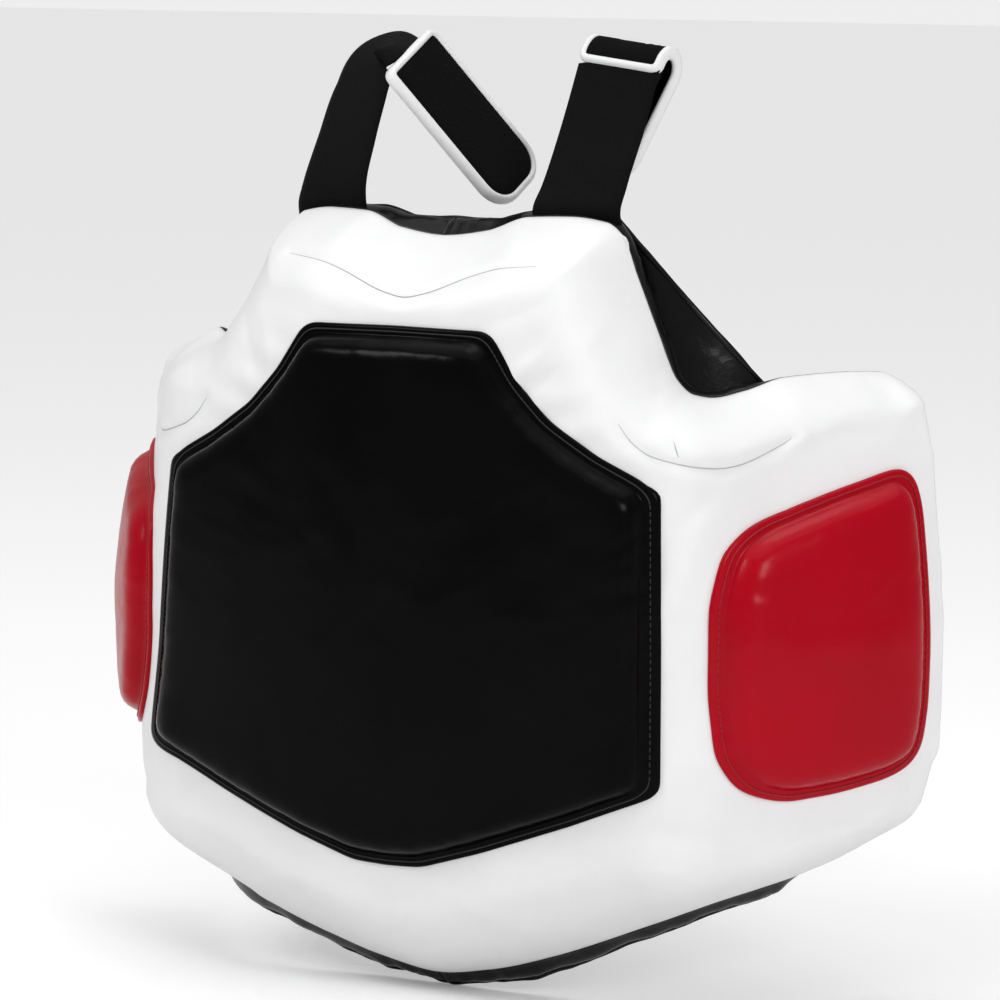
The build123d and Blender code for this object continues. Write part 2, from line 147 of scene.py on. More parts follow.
# Distance in from a target's edge, and height over the cover.
PAD_PROFILE = [(0, .0006), (.0002, .0022), (.0016, .0029), (.0040, .0028), (.0062, .0024), (.0072, .0030),
               (.0086, .0058), (.0108, .0098), (.0138, .0131), (.0176, .0148), (.0222, .0154), (.028, .0156)]
STITCH_PITCH, STITCH_LENGTH, STITCH_R = 0.0048, 0.0034, 0.00055
SEAM_IN, SEAM_OUT = 0.0038, 0.0030   # from a target's edge in to its stitching, and its height
RIGHT_FLARE = 0.068    # share by which the front target's right half grows towards its bottom
TARGET_CROWN = 0.0015  # how much a target's middle stands over its borders
TARGET_UNEVEN, BEVEL_PUCKER = 0.0005, 0.0004

# ---- straps and tails ----
STRAP_W, STRAP_T = 0.062, 0.0028
TAIL_W, TAIL_T, TAIL_L = 0.060, 0.006, 0.126
TIP_R, ROOT_R = 0.019, 0.004         # corners of a tail at its tip and where it is sewn on
RIGHT_TAIL_TRIM = 0.0052             # the right tail's core ends this much before its binding
BINDING_IN, BINDING_OUT = 0.0030, 0.0048     # half width and half height of the folded edge binding
LEFT_BASE, LEFT_SEAM = (0.092, 0.018, 0.1985), (0.092, 0.073, 0.288)
LEFT_BEND_RUN, LEFT_BEND_R, LEFT_BEND_TURN, LEFT_BEND_LENGTH = 0.008, 0.012, 184.0, 0.047
RIGHT_FRAMES = [((-.097, .018, .199), (.97, -.25, 0)), ((-.092, .027, .236), (.935, -.355, 0)),
                ((-.088, .039, .268), (.91, -.41, 0)), ((-.0825, .047, .289), (.84, -.54, -.03)),
                ((-.071, .0505, .2985), (.48, -.85, -.20)), ((-.058, .051, .293), (.10, -.90, -.42))]
LEFT_TILT = -8.0       # degrees that the left strap's top end leans towards the arm
RIGHT_DOWN, RIGHT_OUT = (.512, .396, -.762), (.854, -.273, .432)     # the right tail's run and outer face
STRAP_S = 0.093        # where both straps leave the top edge

# ---- back belts ----
BELT_Z, BELT_H, BELT_T, BELT_R = -.070, .050, .0025, .200
BELT_START, BELT_DEPTH, BELT_HEADING, BELT_SWEEP, BELT_RUN = .004, .010, 112.0, 46.0, .075
PATCH_SIZE = (.040, .0016)           # height and thickness of the belts' patches

# ---- studio ----
FLOOR_SIZE, FLOOR_GREY, FLOOR_LIFT = 40.0, 0.93, 0.16
WORLD_LIGHT, WORLD_SEEN = 0.37, 0.86
SUN_POWER, SUN_SPREAD = 1.0, 70
LAMPS = (("key", (-1.6, -2.2, 2.2), 0.9, 33), ("fill", (2.4, -1.6, 1.2), 0.9, 27),
         ("top", (.2, .3, 2.6), 1.0, 8))     # name, place, size, power
CAMERA_AZIMUTH, CAMERA_ELEVATION, CAMERA_ROLL = 28.7, 6.9, 0.6
CAMERA_DISTANCE, CAMERA_LENS = 3.029, 163.6
CAMERA_TARGET = (0.0442, 0.0, -0.0011)


# ==== shape of the body ====
def between(values, slopes, i, h, u):
    """A smooth curve at the share u of the way from value i to the next, h further on."""
    return ((1 + 2 * u) * (1 - u) ** 2 * values[i] + u * (1 - u) ** 2 * h * slopes[i]
            + u * u * (3 - 2 * u) * values[i + 1] + u * u * (u - 1) * h * slopes[i + 1])


def curve_at(points, s):
    """Heights at |s| of a smooth curve through the points that never overshoots between them."""
    px, pz = (np.array(column, float) for column in zip(*points))
    s = np.clip(np.abs(s), px[0], px[-1])
    slope = np.diff(pz) / np.diff(px)
    tangent = np.zeros(len(px))
    tangent[0] = 0 if px[0] == 0 else slope[0]
    tangent[-1] = slope[-1]
    same = slope[:-1] * slope[1:] > 0
    total = np.where(same, slope[:-1] + slope[1:], 1.0)
    tangent[1:-1] = np.where(same, 2 * slope[:-1] * slope[1:] / total, 0)
    i = np.clip(np.searchsorted(px, s, side="left") - 1, 0, len(px) - 2)
    h = px[i + 1] - px[i]
    return between(pz, tangent, i, h, (s - px[i]) / h)


def unit(v):
    """Vectors along the last axis, each divided by its length."""
    v = np.asarray(v, float)
    return v / np.linalg.norm(v, axis=-1, keepdims=True)


def smooth(u):
    """Goes from 0 to 1 as u does, level at both ends."""
    u = np.clip(u, 0, 1)
    return u * u * (3 - 2 * u)


def plan(s):
    """Plan x, y of the inner face at s, and the heading of the outward direction."""
    size = np.abs(s)
    x, y, heading = np.zeros_like(size), np.zeros_like(size), np.zeros_like(size)
    start = 0.0
    for radius, end in PLAN_ARCS:
        turned = heading + np.clip(np.minimum(size, end) - start, 0, None) / radius
        x += radius * (np.sin(turned) - np.sin(heading))
        y += radius * (np.cos(heading) - np.cos(turned))
        heading = turned
        start = end
    sign = np.where(s < 0, -1.0, 1.0)
    return x * sign, y, heading * sign


def place(s, z, t):
    """Points of the body at (s, z, t), as an array whose last axis is x, y, z."""
    s, z, t = np.broadcast_arrays(*(np.asarray(v, float) for v in (s, z, t)))
    x, y, heading = plan(s)
    out = t - (z - LEAN_Z) ** 2 / (2 * LEAN_R)
    return np.stack([x + out * np.sin(heading), y - out * np.cos(heading), z], -1)


def distance_to(line, s, z):
    """Distance of the points (s, z) from a polyline."""
    line = np.array(line, float)
    best = np.full(np.shape(s), np.inf)
    for (s0, z0), (s1, z1) in zip(line, line[1:]):
        ds, dz = s1 - s0, z1 - z0
        u = np.clip(((s - s0) * ds + (z - z0) * dz) / (ds * ds + dz * dz), 0, 1)
        best = np.minimum(best, np.hypot(s - s0 - u * ds, z - z0 - u * dz))
    return best


def top_edge(s):
    """Height of the cover's upper edge; the wearer's right wing stands higher beside the armhole."""
    return curve_at(TOP, s) + RIGHT_WING_RISE * np.exp(-((s - RISE_S) / RISE_REACH) ** 4)


def hem_edge(s):
    """Height of the cover's lower edge."""
    return curve_at(HEM, s)


OUTLINE_S = np.linspace(-S_END, S_END, 133)
TOP_LINE = np.stack([OUTLINE_S, top_edge(OUTLINE_S)], -1)
HEM_LINE = np.stack([OUTLINE_S, hem_edge(OUTLINE_S)], -1)


def cover_t(s, z):
    """Outer face of the stuffed cover: full thickness inside, rounding down to EDGE_T at every edge."""
    size = np.abs(s)
    wing_t = WING_HIGH_T + (WING_LOW_T - WING_HIGH_T) * smooth((FULLER_Z - z) / FULLER_RUN)
    full = FRONT_T + (wing_t - FRONT_T) * smooth((size - S_FRONT) / (S_CORNER - S_FRONT))
    swell = CORNER_SWELL * np.exp(-((size - S_FOLD) / SWELL_REACH) ** 2)
    full = full + swell * smooth((SWELL_Z - z) / SWELL_RUN)
    side = smooth((size - WING_ROUND_S) / WING_ROUND_RUN)
    top_round = TOP_ROUND[0] + (TOP_ROUND[1] - TOP_ROUND[0]) * side
    hem_round = HEM_ROUND[0] + (HEM_ROUND[1] - HEM_ROUND[0]) * side
    rear_cut = REAR_ROUND_CUT * smooth((size - REAR_ROUND_S) / REAR_ROUND_RUN)
    border = np.minimum(distance_to(TOP_LINE, s, z) / (top_round - rear_cut),
                        distance_to(HEM_LINE, s, z) / (hem_round - rear_cut))
    across = np.sin(np.clip(border, 0, 1) * math.pi / 2) ** .85
    end = np.sin(np.clip((S_END - size) / END_ROUND, 0, 1) * math.pi / 2) ** .7
    return EDGE_T + (full - EDGE_T) * across * end + hang(s, z)


def hang(s, z):
    """The wearer's right half of the hem hangs a little outward."""
    out = HANG * np.exp(-((s - HANG_S) / HANG_REACH) ** 2)
    return out * smooth((hem_edge(s) + HANG_TALL - z) / HANG_FADE)


def value_noise(u, v, seed=0):
    """Smooth noise in -1..1 over a unit lattice, the same on every run."""
    table = np.random.default_rng(seed).uniform(-1, 1, (64, 64))
    i, j = np.floor(u).astype(int), np.floor(v).astype(int)
    fu, fv = smooth(u - i), smooth(v - j)

    def at(a, b):
        return table[a % 64, b % 64]

    low = at(i, j) * (1 - fu) + at(i + 1, j) * fu
    high = at(i, j + 1) * (1 - fu) + at(i + 1, j + 1) * fu
    return low * (1 - fv) + high * fv


def fractal(u, v, seed=0, octaves=3):
    """Layers of the noise, each twice as fine and half as strong as the one before."""
    return sum(value_noise(u * 2 ** k, v * 2 ** k, seed + k) / 2 ** k for k in range(octaves))


# ==== mesh helpers ====
def make_object(name, points, faces, uvs=None):
    """A smooth-shaded mesh; uvs holds run coordinates in metres, one pair for each point."""
    mesh = bpy.data.meshes.new(name)
    mesh.from_pydata(np.asarray(points, float).reshape(-1, 3).tolist(), [], faces)
    if uvs is not None:
        layer = mesh.uv_layers.new(name="run")
        flat = np.asarray(uvs, float).reshape(-1, 2)
        loops = np.zeros(len(mesh.loops), int)
        mesh.loops.foreach_get("vertex_index", loops)
        layer.data.foreach_set("uv", flat[loops].ravel())
    mesh.shade_smooth()
    mesh.validate()
    obj = bpy.data.objects.new(name, mesh)
    bpy.context.scene.collection.objects.link(obj)
    return obj


def grid_faces(rows, columns, close_rows=False, close_columns=False, start=0, flip=False):
    """Quads of a grid whose point (i, j) is number start + i * columns + j."""
    faces = []
    for i in range(rows if close_rows else rows - 1):
        for j in range(columns if close_columns else columns - 1):
            a = start + i * columns + j
            b = start + i * columns + (j + 1) % columns
            c = start + ((i + 1) % rows) * columns + (j + 1) % columns
            d = start + ((i + 1) % rows) * columns + j
            faces.append((a, d, c, b) if flip else (a, b, c, d))
    return faces


def grid_object(name, points, close_rows=False, close_columns=False, flip=False):
    """A grid of points (rows, columns, 3) as one mesh."""
    rows, columns = points.shape[:2]
    return make_object(name, points, grid_faces(rows, columns, close_rows, close_columns, flip=flip))


def bm_fix_normals(obj):
    """Makes every face of a closed mesh point outward."""
    work = bmesh.new()
    work.from_mesh(obj.data)
    bmesh.ops.recalc_face_normals(work, faces=work.faces[:])
    work.to_mesh(obj.data)
    work.free()


def thicken(obj, thickness):
    """Gives a skin its thickness, inward from its face."""
    modifier = obj.modifiers.new("thickness", "SOLIDIFY")
    modifier.thickness = thickness
    modifier.offset = -1.0
    modifier.use_even_offset = False
    return obj


def tube_points(line, radius, sides):
    """Rings of points round an open polyline, one row for each of its points."""
    run = unit(np.gradient(line, axis=0))
    side = unit(np.cross(run, TUBE_GUIDE))
    up = np.cross(side, run)
    angle = np.linspace(0, 2 * math.pi, sides, endpoint=False)
    ring = np.cos(angle)[None, :, None] * side[:, None] + np.sin(angle)[None, :, None] * up[:, None]
    return line[:, None] + ring * np.broadcast_to(radius, (len(line),))[:, None, None]


def tube_faces(rows, columns, start=0):
    """Quads between the rings of a tube, and a face over each of its ends."""
    ends = [tuple(range(at, at + columns)) for at in (start, start + (rows - 1) * columns)]
    return grid_faces(rows, columns, close_columns=True, start=start) + [ends[0][::-1], ends[1]]


def tube_object(name, line, radius, sides):
    """A tube with closed ends round an open polyline."""
    return make_object(name, tube_points(line, radius, sides), tube_faces(len(line), sides))


def lengths(line):
    """How far along a polyline each of its points lies."""
    return np.concatenate([[0], np.cumsum(np.linalg.norm(np.diff(line, axis=0), axis=1))])


def points_at(line, length, at):
    """Values at distances along a polyline that has its own at the given lengths."""
    return np.stack([np.interp(at, length, line[:, k]) for k in range(line.shape[1])], -1)


def resample(line, step, closed=False):
    """The polyline again with points a step apart."""
    line = np.asarray(line, float)
    if closed:
        line = np.vstack([line, line[:1]])
    length = lengths(line)
    count = max(int(round(length[-1] / step)), 2)
    return points_at(line, length, np.linspace(0, length[-1], count, endpoint=not closed))


def stitches(name, line, out):
    """Sewn stitches along a closed line of 3-D points, each a small capsule that lies along it."""
    spots = resample(np.hstack([line, out]), STITCH_PITCH, closed=True)
    at, up = spots[:, :3], spots[:, 3:]
    run = unit(np.roll(at, -1, 0) - np.roll(at, 1, 0))
    side = unit(np.cross(run, up))
    up = np.cross(side, run)
    profile = ((-.5, .25), (-.42, .85), (0, 1.15), (.42, .85), (.5, .25))    # along, share of the radius
    sides = 6
    points, faces = [], []
    for p, r, a, b in zip(at, run, side, up):
        first = len(points)
        for along, size in profile:
            for k in range(sides):
                turn = 2 * math.pi * k / sides
                around = (a * math.cos(turn) + b * math.sin(turn)) * STITCH_R * size
                points.append(p + r * STITCH_LENGTH * along + around)
        faces += tube_faces(len(profile), sides, start=first)
    return make_object(name, points, faces)


# ==== materials ====
def new_material(name):
    """A new material, its node tree and its shader."""
    material = bpy.data.materials.new(name)
    material.use_nodes = True
    return material, material.node_tree, material.node_tree.nodes["Principled BSDF"]


def add(tree, kind, **values):
    """A node with its properties and unlinked inputs set."""
    node = tree.nodes.new(kind)
    for key, value in values.items():
        if key in node.inputs:
            node.inputs[key].default_value = value
        else:
            setattr(node, key, value)
    return node


def texture(tree, at, kind, output, **values):
    """One output of a texture node that is read at the given coordinates."""
    node = add(tree, kind, **values)
    tree.links.new(at, node.inputs["Vector"])
    return node.outputs[output]


def ramp(tree, source, low, high, start=0.0, end=1.0):
    """A value that runs from low to high while source runs from start to end."""
    node = add(tree, "ShaderNodeMapRange")
    for key, value in (("From Min", start), ("From Max", end), ("To Min", low), ("To Max", high)):
        node.inputs[key].default_value = value
    tree.links.new(source, node.inputs["Value"])
    return node.outputs["Result"]


def blend_colours(tree, share, first, second):
    """A colour that runs from first to second as share goes from 0 to 1."""
    node = add(tree, "ShaderNodeMix", data_type="RGBA")
    tree.links.new(share, node.inputs[0])
    node.inputs[6].default_value = (*first, 1)
    node.inputs[7].default_value = (*second, 1)
    return node.outputs[2]


def bump(tree, height, strength, distance, over=None):
    """A surface direction bent by a height, over that of another bump."""
    node = add(tree, "ShaderNodeBump", Strength=strength, Distance=distance)
    tree.links.new(height, node.inputs["Height"])
    if over is not None:
        tree.links.new(over, node.inputs["Normal"])
    return node.outputs["Normal"]


def join(tree, shader, colour, roughness, normal, specular):
    """Wires a surface's colour, roughness and direction into its shader."""
    for key, output in (("Base Color", colour), ("Roughness", roughness), ("Normal", normal)):
        tree.links.new(output, shader.inputs[key])
    shader.inputs["Specular IOR Level"].default_value = specular


def leather(name, colour, shade, roughness, grain=0.25, wrinkle=0.2, specular=0.5):
    """Coated artificial leather: fine pebble grain, shallow creases, and patches that shine less."""
    material, tree, shader = new_material(name)
    at = add(tree, "ShaderNodeTexCoord").outputs["Object"]
    broad = texture(tree, at, "ShaderNodeTexNoise", "Fac", Scale=9.0, Detail=4.0, Roughness=0.55)
    pebble = texture(tree, at, "ShaderNodeTexVoronoi", "Distance", Scale=900.0, feature="SMOOTH_F1")
    crease = texture(tree, at, "ShaderNodeTexNoise", "Fac", Scale=38.0, Detail=5.0, Roughness=0.6,
                     Distortion=0.8)
    tint = blend_colours(tree, ramp(tree, broad, 0, 1, start=0.40, end=0.75), colour, shade)
    shine = ramp(tree, crease, roughness * 0.85, roughness * 1.2)
    normal = bump(tree, crease, wrinkle, 0.002, over=bump(tree, pebble, grain, 0.0003))
    join(tree, shader, tint, shine, normal, specular)
    return material


def tape(name, colour, shade, pitch, relief=0.6):
    """Woven tape: ribs across its run and fine warp threads along it, from the run coordinates in metres."""
    material, tree, shader = new_material(name)
    run = add(tree, "ShaderNodeUVMap", uv_map="run").outputs["UV"]
    ribs = texture(tree, run, "ShaderNodeTexWave", "Fac", wave_type="BANDS", bands_direction="X",
                   Scale=0.5 / pitch, Distortion=0.6, Detail=1.0)
    threads = texture(tree, run, "ShaderNodeTexWave", "Fac", wave_type="BANDS", bands_direction="Y",
                      Scale=0.5 / (pitch * 1.3), Distortion=0.4, Detail=1.0)
    fuzz = texture(tree, run, "ShaderNodeTexNoise", "Fac", Scale=420.0, Detail=3.0)
    weave_and_painted_shade = add(tree, "ShaderNodeMath", operation="MULTIPLY")
    tree.links.new(ribs, weave_and_painted_shade.inputs[0])
    tree.links.new(threads, weave_and_painted_shade.inputs[1])
    normal = bump(tree, fuzz, 0.25, 0.0004, over=bump(tree, weave_and_painted_shade.outputs[0], relief, 0.0006))
    # painted shade: the colour runs from a darker shade in the weave's hollows to the tape's own colour on
    # its ribs
    tint = blend_colours(tree, weave_and_painted_shade.outputs[0], shade, colour)
    join(tree, shader, tint, ramp(tree, fuzz, 0.62, 0.85), normal, 0.07)
    shader.inputs["Sheen Weight"].default_value = 0.01
    return material


def pile(name, colour, shade, scale=700.0, relief=0.8):
    """Brushed loop or hook face."""
    material, tree, shader = new_material(name)
    at = add(tree, "ShaderNodeTexCoord").outputs["Object"]
    tufts = texture(tree, at, "ShaderNodeTexVoronoi", "Distance", Scale=scale)
    patches = texture(tree, at, "ShaderNodeTexNoise", "Fac", Scale=60.0, Detail=4.0)
    tint = blend_colours(tree, patches, shade, colour)
    join(tree, shader, tint, ramp(tree, patches, 0.85, 1.0), bump(tree, tufts, relief, 0.0008), 0.1)
    return material


WHITE = leather("white_leather", (.86, .86, .865), (.80, .80, .81), 0.46, grain=0.12, wrinkle=0.10)
BLACK = leather("black_leather", (.0012, .0012, .0013), (.0026, .0026, .0028), 0.20, grain=0.10, wrinkle=0.05,
                specular=0.05)
RED = leather("red_leather", (.40, .0002, .0088), (.34, .0002, .0072), 0.24, grain=0.15, wrinkle=0.10,
              specular=0.12)
VINYL = leather("liner_vinyl", (.004, .004, .0043), (.007, .007, .0075), 0.20, grain=0.12, wrinkle=0.30,
                specular=0.17)
PIPING = leather("white_binding", (.84, .84, .845), (.78, .78, .79), 0.5, grain=0.06, wrinkle=0.05)
# each tape's second colour is the painted shade of the hollows in its weave
WEBBING = tape("webbing", (.006, .006, .0063), (.0018, .0018, .0018), 0.0016)
ELASTIC = tape("elastic", (.018, .018, .019), (.005, .005, .005), 0.0022, relief=0.8)
LOOP = pile("loop_pile", (.0035, .0035, .0035), (.002, .002, .002))
HOOK = pile("hook_pile", (.02, .02, .021), (.008, .008, .008), scale=1100.0, relief=1.0)
BLACK_THREAD = leather("black_thread", (.006, .006, .006), (.010, .010, .010), 0.6, grain=0.3)
RED_THREAD = leather("red_thread", (.32, .0004, .007), (.26, .0004, .006), 0.6, grain=0.3)
CREASE = leather("crease_thread", (.40, .40, .41), (.52, .52, .53), 0.6, grain=0.3)


def dress(obj, material):
    """Gives a piece its material."""
    obj.data.materials.append(material)
    return obj


# ==== body: cover, walls and liner ====
def fold(obj, sign):
    """Works out the middle of the soft corner and a run across it, then bakes the piece's placement into its
    mesh.
    """
    mid, ahead = (place((S_FOLD + step) * sign, LEAN_Z, FOLD_T) for step in (0, .001))
    reach = unit(ahead - place((S_FOLD - .001) * sign, LEAN_Z, FOLD_T)) * FOLD_REACH
    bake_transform(obj)
    return obj


def groove(line, s, z, width, depth):
    """A pressed line with a soft fold on each side of it."""
    away = distance_to(line, s, z) / width
    return depth * (0.5 * np.exp(-((away - 2.8) / 1.7) ** 2) - np.exp(-away ** 2))


def wrinkle(s, z, at, turn, length, width, depth):
    """One long soft fold that fades out at both ends; turn is its slope in degrees in the (s, z) plane."""
    a = math.radians(turn)
    along = (s - at[0]) * math.cos(a) + (z - at[1]) * math.sin(a)
    across = -(s - at[0]) * math.sin(a) + (z - at[1]) * math.cos(a) + .004 * np.sin(along * 70)
    return depth * np.exp(-(across / width) ** 2) * np.exp(-(along / length) ** 2)


def armhole_pulls(s, z):
    """Fine slanting pulls where the cover turns under an armhole."""
    from_s, from_z = s - PULLS_AT[0], z - PULLS_AT[1]
    across = from_s * PULLS_TURN[0] + from_z * PULLS_TURN[1]
    along = from_z * PULLS_TURN[0] - from_s * PULLS_TURN[1]
    waves = PULLS_HEIGHT * np.sin(along * 240 + across * 90)
    return waves * np.exp(-(across / PULLS_WIDTH) ** 2 - (along / PULLS_LENGTH) ** 2)


def cover_relief(s, z):
    """Seams, folds and puckers of the white cover, outward."""
    relief = groove(NECK_CREASE, s, z, *NECK_GROOVE) + groove(ARM_TUCK, s, z, *TUCK_GROOVE)
    for soft_fold in FOLDS:
        relief += wrinkle(s, z, *soft_fold)
    for _, sign in SIDES:
        relief += groove([(a * sign, b) for a, b in ARM_CREASE], s, z, *ARM_GROOVE)
        relief += armhole_pulls(s * sign, z)
    relief += UNEVEN * fractal(s * 28 + 7, z * 22 + 3, 11)
    edge = np.minimum(distance_to(TOP_LINE, s, z), distance_to(HEM_LINE, s, z))
    pucker = fractal(s * 95 + 40, z * 95 + 40, 23, 2)
    relief += UNEVEN * pucker * np.exp(-(edge / PUCKER_REACH) ** 2)
    return relief * smooth(edge / EDGE_CALM)


def edge_rows(count):
    """Shares from 0 to 1, closer together at both ends."""
    u = np.linspace(0, 1, count)
    return 0.55 * u + 0.45 * (1 - np.cos(math.pi * u)) / 2


def make_cover():
    """White cover: a left and a right half that meet in the middle of the chest."""
    for name, sign in SIDES:
        run = np.linspace(-OVERLAP, S_END, COVER_GRID[0])[None, :]
        share = edge_rows(COVER_GRID[1])[:, None]
        low, high = hem_edge(run * sign), top_edge(run * sign)
        z = low + (high - low) * share
        run = np.broadcast_to(run, z.shape)
        tuck = TUCK * smooth(-run / OVERLAP)
        s = run * sign
        points = place(s, z, cover_t(s, z) + cover_relief(s, z) - tuck)
        cover = grid_object(name + "_cover", points, flip=sign < 0)
        thicken(cover, COVER_SKIN)
        dress(cover, WHITE)
        fold(cover, sign)
        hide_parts(name + "_wing_cover", name + "_wing_top_foam", name + "_wing_base_foam")
        if sign > 0:
            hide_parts("front_cover", "front_top_foam", "front_base_foam")


def make_crease_lines():
    """The sewn line across the neck and the one under each armhole, lying in their grooves."""
    lines = [("neck_crease", NECK_CREASE, 0)]
    for name, sign in SIDES:
        lines.append((name + "_armhole_crease", [(a * sign, b) for a, b in ARM_CREASE], sign))
    lines.append(("left_armhole_tuck", ARM_TUCK, 1))
    for name, points, sign in lines:
        line = resample(points, .004)
        for _ in range(3):
            line[1:-1] = line[1:-1] * .5 + (line[2:] + line[:-2]) * .25
        s, z = resample(line, .0016).T
        at = place(s, z, cover_t(s, z) + cover_relief(s, z) + .0001)
        fade = np.sin(np.linspace(.12, math.pi - .12, len(s))) ** .5
        thread = tube_object(name, at, THREAD_R * fade, 6)
        dress(thread, CREASE)
        if sign:
            fold(thread, sign)
        else:
            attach(thread, "front")


def neck_rise(s):
    """How far the liner stands over the cover at the neck."""
    return LINER_RISE * (1 - smooth(np.abs(s) / NECK_HALF))


def rim(sign):
    """Half of the outline, from the middle of the neck round to the middle of the hem, in (s, z).

    With it comes how far the liner stands over each point, and the share to which the cover wraps over it.
    """
    s = np.linspace(0, S_END, 150)
    top = np.stack([s, top_edge(s * sign)], -1)
    hem = np.stack([s, hem_edge(s * sign)], -1)[::-1]
    end = np.stack([np.full(60, S_END), np.linspace(top[-1, 1], hem[0, 1], 62)[1:-1]], -1)
    line = resample(np.vstack([top, end, hem]), 0.003)
    first = np.argmin(np.hypot(line[:, 0] - S_END, line[:, 1] - top[-1, 1]))
    last = np.argmin(np.hypot(line[:, 0] - S_END, line[:, 1] - hem[0, 1]))
    order = np.arange(len(line))
    wrap = np.where(order <= first, smooth((line[:, 0] - WRAP_START[int(sign)]) / WRAP_REACH), 0)
    rise = np.where(order <= first, neck_rise(line[:, 0]), 0) - WRAP_LOW * wrap
    hem_share = smooth((order - last) / 12.0)
    rise = rise + hem_share * (hem_edge(line[:, 0] * sign) - liner_low(line[:, 0] * sign) - .002)
    return line, rise, wrap


def make_walls():
    """Black strip that closes the foam between the cover's edge and the liner."""
    for name, sign in SIDES:
        line, rise, wrap = rim(sign)
        run = unit(np.gradient(line, axis=0))
        outward = np.stack([-run[:, 1], run[:, 0]], -1)
        upright = np.where(np.arange(len(line)) < len(line) / 2, 1.0, -1.0)
        straight = np.stack([0 * upright, upright], -1)
        outward = unit(straight + (outward - straight) * smooth(line[:, :1] / NECK_LEVEL))
        q = np.linspace(0, 1, WALL_STEPS)[None, :]
        waves = fractal(np.abs(line[:, 0]) * 38 + 3, line[:, 1] * 38, 31)[:, None]
        puckers = fractal(np.abs(line[:, 0]) * 150 + 3, line[:, 1] * 150, 37)[:, None]
        bulge = WALL_BULGE + WALL_WAVE * waves + WALL_PUCKER * puckers
        bulge = bulge * np.sin(math.pi * q) * (1 - wrap[:, None])
        reach = rise[:, None] * smooth(q * 1.15) + bulge
        t = EDGE_T - WALL_IN - (EDGE_T - WALL_IN - LINER_T * .8) * q
        s = (line[:, :1] + outward[:, :1] * reach) * sign
        z = line[:, 1:] + outward[:, 1:] * reach
        wall = grid_object(name + "_edge_wall", place(s, z, t + hang(s, z)), flip=sign > 0)
        thicken(wall, WALL_SKIN)
        dress(wall, VINYL)
        fold(wall, sign)
        replaced = [name + "_" + part + "_wall" for part in ("armhole", "wing_top", "wing_hem", "wing_end")]
        if sign > 0:
            replaced += ["neck_wall", "front_hem_wall"]
        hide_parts(*replaced)


def liner_top(s):
    """Upper edge of the liner."""
    size = np.abs(s)
    wrap = smooth((size - np.where(s > 0, WRAP_START[1], WRAP_START[-1])) / WRAP_REACH)
    top = top_edge(s) + neck_rise(s) - WRAP_DROP * wrap
    cut = FLAP_Z - (size - FLAP_S) * np.where(s > 0, 1, RIGHT_CUT_SLOPE)
    return np.where(size > FLAP_S, np.maximum(top, cut), top)


def liner_low(s):
    """Lower edge of the liner: it shows below the cover, less towards the rear."""
    size = np.abs(s)
    wave = np.where(s < 0, LINER_WAVE[-1], LINER_WAVE[1]) * fractal(s * 30 + 9, s * 0 + 2, 41)
    wave = wave * (1 - smooth((size - .2) / .1))
    shown = 1 - BAND_DIP * smooth((size - BAND_S) / BAND_RUN)
    hanging = HANG_DROP * np.exp(-((s - HANG_DROP_S) / HANG_DROP_REACH) ** 2)
    return hem_edge(s) - LINER_DROP * shown - hanging - wave


def make_rolls(name, sign):
    """Rolled edges of the liner at the neck and armhole, and at the hem."""
    s = np.linspace(-.0005, S_END, 200) * sign
    for where, height in (("neck", liner_top(s)), ("hem", liner_low(s))):
        lump = fractal(np.abs(s) * 60, s * 0 + 5, 61, 2)
        line = place(s, height, LINER_T / 2 + .0004 + hang(s, height))
        roll = tube_object(name + "_" + where + "_roll", line, ROLL_R + ROLL_LUMP * lump, 10)
        dress(roll, VINYL)
        fold(roll, sign)


def make_liner():
    """Black lining on the wearer's side, larger than the cover, with a rolled edge."""
    for name, sign in SIDES:
        run = np.linspace(-OVERLAP, S_END, LINER_GRID[0])[None, :]
        s = run * sign
        share = edge_rows(LINER_GRID[1])[:, None]
        low, high = liner_low(s), liner_top(s)
        z = low + (high - low) * share
        s = np.broadcast_to(s, z.shape)
        edge = np.minimum(z - low, high - z)
        waves = LINER_WRINKLE * fractal(s * 20 + 2, z * 34 + 5, 51) * smooth(edge / LINER_CALM)
        lift = hang(s, z) - TUCK * smooth(-run / OVERLAP)
        outer = place(s, z, LINER_T + np.minimum(waves, .0002) + lift)
        inner = place(s, z, np.maximum(waves, -.0004) - .0002 + lift)
        edge_loop = np.concatenate([outer, inner[::-1]])
        rows, columns = edge_loop.shape[:2]
        faces = grid_faces(rows, columns, close_rows=True)
        for j in (0, columns - 1):
            for i in range(rows // 2 - 1):
                corners = (i, i + 1, rows - 2 - i, rows - 1 - i)
                faces.append(tuple(corner * columns + j for corner in corners))
        liner = make_object(name + "_liner", edge_loop, faces)
        bm_fix_normals(liner)
        dress(liner, VINYL)
        fold(liner, sign)
        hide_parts(name + "_wing_liner")
        if sign > 0:
            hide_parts("front_liner")
        make_rolls(name, sign)


make_cover()
make_crease_lines()
make_walls()
make_liner()


# ==== targets ====
def loop_normals(line):
    """Inward directions of a closed counter-clockwise or clockwise loop in (s, z)."""
    run = np.roll(line, -1, 0) - np.roll(line, 1, 0)
    run /= np.linalg.norm(run, axis=1)[:, None]
    normal = np.stack([-run[:, 1], run[:, 0]], -1)
    area = np.sum(line[:, 0] * np.roll(line[:, 1], -1) - np.roll(line[:, 0], -1) * line[:, 1])
    return normal if area > 0 else -normal


def rounded_loop(points, step, passes):
    """Closed loop through the points, resampled, with its corners eased by passes of averaging."""
    line = resample(points, step, closed=True)
    for _ in range(passes):
        line = line * 0.5 + (np.roll(line, 1, 0) + np.roll(line, -1, 0)) * 0.25
    return line


